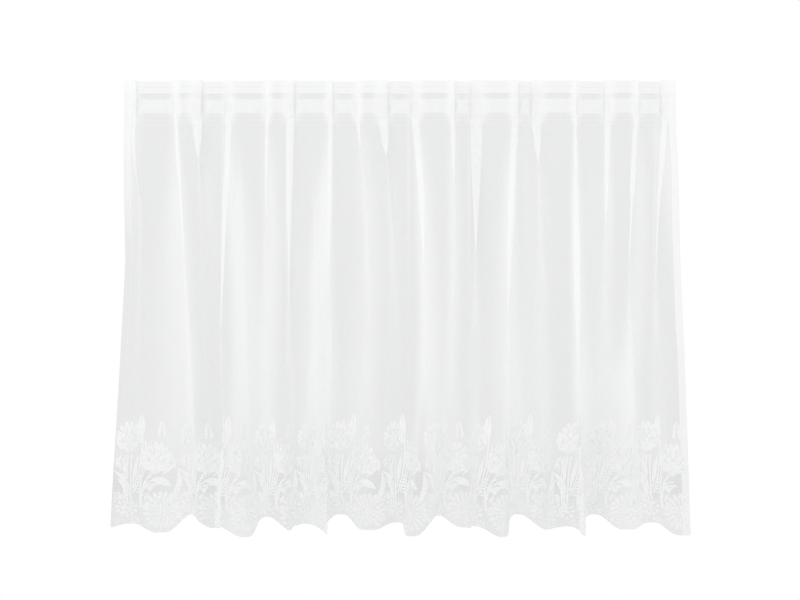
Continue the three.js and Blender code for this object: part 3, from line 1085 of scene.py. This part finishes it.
def border_repeat(work, start, rng):
    """One repeat of the border, drawn from the middle of its upper flower: places along the cloth
    from there and below its top edge, then widths, all in millimetres."""

    def at(along, drop):
        return (start + along, drop)

    flower_head(work, at(1, 738), 52, 66, -0.04, rng)
    flower_head(work, at(54, 782), 60, 68, 0.08, rng)
    flame(work, at(26, 654), at(26, 704), 12)
    ear(work, at(65, 708), 28)

    # Stems of the upper flower and of the flame, with the leaves beside them
    work.stem([at(0, 736), at(-2, 784), at(5, 846)], 3.4)
    work.stem([at(6, 738), at(6, 788), at(10, 846)], 3.2)
    work.stem([at(-6, 738), at(-8, 786), at(0, 846)], 2.8)
    work.stem([at(27, 700), at(25, 758), at(11, 816)], 3.4)
    work.stem([at(33, 712), at(32, 756), at(16, 812)], 3.0)
    work.stem([at(20, 742), at(17, 774), at(9, 804)], 3.0)
    work.petal(at(12, 804), at(23, 736), 7.5, bend=-0.05, steps=7)
    work.petal(at(-3, 796), at(-14, 742), 7, bend=0.10, steps=6)
    work.petal(at(-2, 824), at(-20, 784), 7, bend=0.14, steps=6)
    work.petal(at(36, 742), at(43, 706), 6, bend=0.08, steps=6, thread=0.7)
    work.petal(at(-14, 770), at(-26, 744), 7, bend=0.1, steps=6, thread=0.6)

    # Stem of the lower flower, with its leaflets
    foot = at(31, 844)
    work.stem([foot, at(31, 808), at(48, 776)], 4.2)
    work.stem([at(29, 844), at(27, 802), at(36, 766)], 2.8)
    comb(work, foot)
    work.petal(at(70, 778), at(86, 738), 6.5, bend=0.08, steps=6)
    work.petal(at(66, 782), at(96, 752), 6, bend=0.06, steps=6)
    work.petal(at(60, 796), at(44, 816), 7, bend=0.1, steps=6, thread=0.8)

    # Broad leaves that meet in an arch
    work.petal(at(48, 790), at(87, 804), 15, bend=-0.10, steps=8, thread=1.1)
    work.petal(at(84, 836), at(100, 768), 11, bend=0.14, steps=8, thread=1.1)
    work.petal(at(131, 816), at(101, 769), 10, bend=0.14, steps=8, thread=1.1)
    work.stem([at(137, 842), at(135, 822), at(128, 808)], 3)
    work.petal(at(92, 770), at(87, 744), 6, bend=0.1)
    work.petal(at(106, 764), at(115, 738), 5.5, bend=-0.1)

    # The row of round flowers and the leaves between them
    dahlia(work, at(72, 850), rng)
    rosette(work, at(8, 846), 17, rng)
    rosette(work, at(123, 842), 16, rng)
    rosette(work, at(19, 872), 11, rng)
    rosette(work, at(106, 820), 11, rng)
    for along, drop, turn in (
        (33, 846, 60),
        (30, 880, 95),
        (114, 868, -60),
        (-8, 828, -20),
        (36, 830, 30),
        (92, 812, 60),
        (50, 812, -50),
    ):
        tip = polar(at(along, drop), math.radians(turn), 17)
        work.petal(at(along, drop), tip, 8.5, steps=6, thread=0.9)


# The cords along the scalloped edge: how far inside it each lies, its width and its thread
EDGE_CORDS = ((2, 2.6, 0.25), (8, 2, 0.1))
CORD_STEP = 3.0


def edge_lines(work):
    """Cords that follow the scalloped edge."""
    along = np.arange(1, FLAT_WIDTH, CORD_STEP)
    for inset, width, thread in EDGE_CORDS:
        axis = np.stack([along, hem_drop(along) - inset], axis=-1)
        work.strip(axis, np.full(len(along), width), thread, crown=0.3)


def make_border():
    """The whole border, from a repeat that starts beyond the left edge on."""
    work = Lace()
    rng = random.Random(11)
    last = math.ceil((FLAT_WIDTH - FIRST_MOTIF) / MOTIF_REPEAT)
    for repeat in range(-1, last):
        border_repeat(work, FIRST_MOTIF + repeat * MOTIF_REPEAT, rng)
    work.drop_overhanging()
    edge_lines(work)
    return work.mesh("lace_border", lace)


panel = make_panel()
heading = make_tape()
border = make_border()

for piece, slot in ((panel, "lace_voile"), (border, "lace_voile"), (heading, "tape")):
    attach(piece, "root")
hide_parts("curtain_panel")
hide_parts("heading_tape")

# Camera at the photograph's place: straight in front, level with the middle of the frame, in
# which the curtain's top edge lies a number of pixels from the top
PIXEL = 1.974 * MM
FRAME_WIDTH = 800 * PIXEL
FRAME_MIDDLE = 300
TOP_EDGE_PIXEL = 81
LENS = 70
SENSOR = 36

camera_data = bpy.data.cameras.new("camera")
camera_data.lens = LENS
camera_data.sensor_width = SENSOR
camera = bpy.data.objects.new("camera", camera_data)
camera.location = (0, -FRAME_WIDTH * LENS / SENSOR, (TOP_EDGE_PIXEL - FRAME_MIDDLE) * PIXEL)
camera.rotation_euler = (math.radians(90), 0, 0)
bpy.context.scene.collection.objects.link(camera)
bpy.context.scene.camera = camera
bpy.context.scene.view_settings.view_transform = "Standard"

# Stage: a room that lights the cloth evenly from all round. It shows as white beside the curtain
# and as grey through it, so that the sheer cloth stands out. A pale floor lies below, and a soft
# lamp stands on the left.
BEHIND_CLOTH = (0.542, 0.55, 0.547, 1)
ROOM_LIGHT = (1.0, 1.0, 1.0, 1)
BESIDE_CLOTH = (1, 1, 1, 1)
world = bpy.data.worlds.new("room")
world.use_nodes = True
world_tree = world.node_tree
world_tree.nodes.clear()
path_node = add_node(world_tree, "ShaderNodeLightPath")
through_cloth = maths(world_tree, "GREATER_THAN", path_node.outputs["Transparent Depth"], 0.5)
beside = add_node(world_tree, "ShaderNodeBackground", {"Color": BESIDE_CLOTH})
behind = add_node(world_tree, "ShaderNodeBackground", {"Color": BEHIND_CLOTH})
lit = add_node(world_tree, "ShaderNodeBackground", {"Color": ROOM_LIGHT})
shown = add_node(
    world_tree,
    "ShaderNodeMixShader",
    {0: through_cloth, 1: beside.outputs[0], 2: behind.outputs[0]},
)
room = add_node(
    world_tree,
    "ShaderNodeMixShader",
    {0: path_node.outputs["Is Camera Ray"], 1: lit.outputs[0], 2: shown.outputs[0]},
)
add_node(world_tree, "ShaderNodeOutputWorld", {0: room.outputs[0]})
bpy.context.scene.world = world

FLOOR_DEPTH = 1.35
FLOOR_HALF = 1.45
FLOOR_COLOUR = (0.7, 0.7, 0.7, 1)
FLOOR_ROUGHNESS = 0.9
floor_mesh = bpy.data.meshes.new("floor")
floor_mesh.from_pydata(
    [
        (x * FLOOR_HALF, y * FLOOR_HALF, -FLOOR_DEPTH)
        for x, y in ((-1, -1), (1, -1), (1, 1), (-1, 1))
    ],
    [],
    [(0, 1, 2, 3)],
)
floor_material = bpy.data.materials.new("floor")
floor_material.use_nodes = True
floor_shader = floor_material.node_tree.nodes["Principled BSDF"]
floor_shader.inputs["Base Color"].default_value = FLOOR_COLOUR
floor_shader.inputs["Roughness"].default_value = FLOOR_ROUGHNESS
floor_mesh.materials.append(floor_material)
floor = bpy.data.objects.new("floor", floor_mesh)
bpy.context.scene.collection.objects.link(floor)

# The lamp looks at the middle of the curtain
LAMP_PLACE = (-1.7, -2.5, 0.7)
LAMP_AIM = (0, 0, -0.45)
LAMP_SIZE = 1.8
LAMP_POWER = 4
lamp_data = bpy.data.lights.new("left_lamp", "AREA")
lamp_data.shape = "SQUARE"
lamp_data.size = LAMP_SIZE
lamp_data.energy = LAMP_POWER
lamp = bpy.data.objects.new("left_lamp", lamp_data)
lamp.location = LAMP_PLACE
to_aim = np.subtract(LAMP_AIM, LAMP_PLACE)
lamp.rotation_euler = (
    math.atan2(math.hypot(to_aim[0], to_aim[1]), -to_aim[2]),
    0,
    math.atan2(-to_aim[0], to_aim[1]),
)
bpy.context.scene.collection.objects.link(lamp)
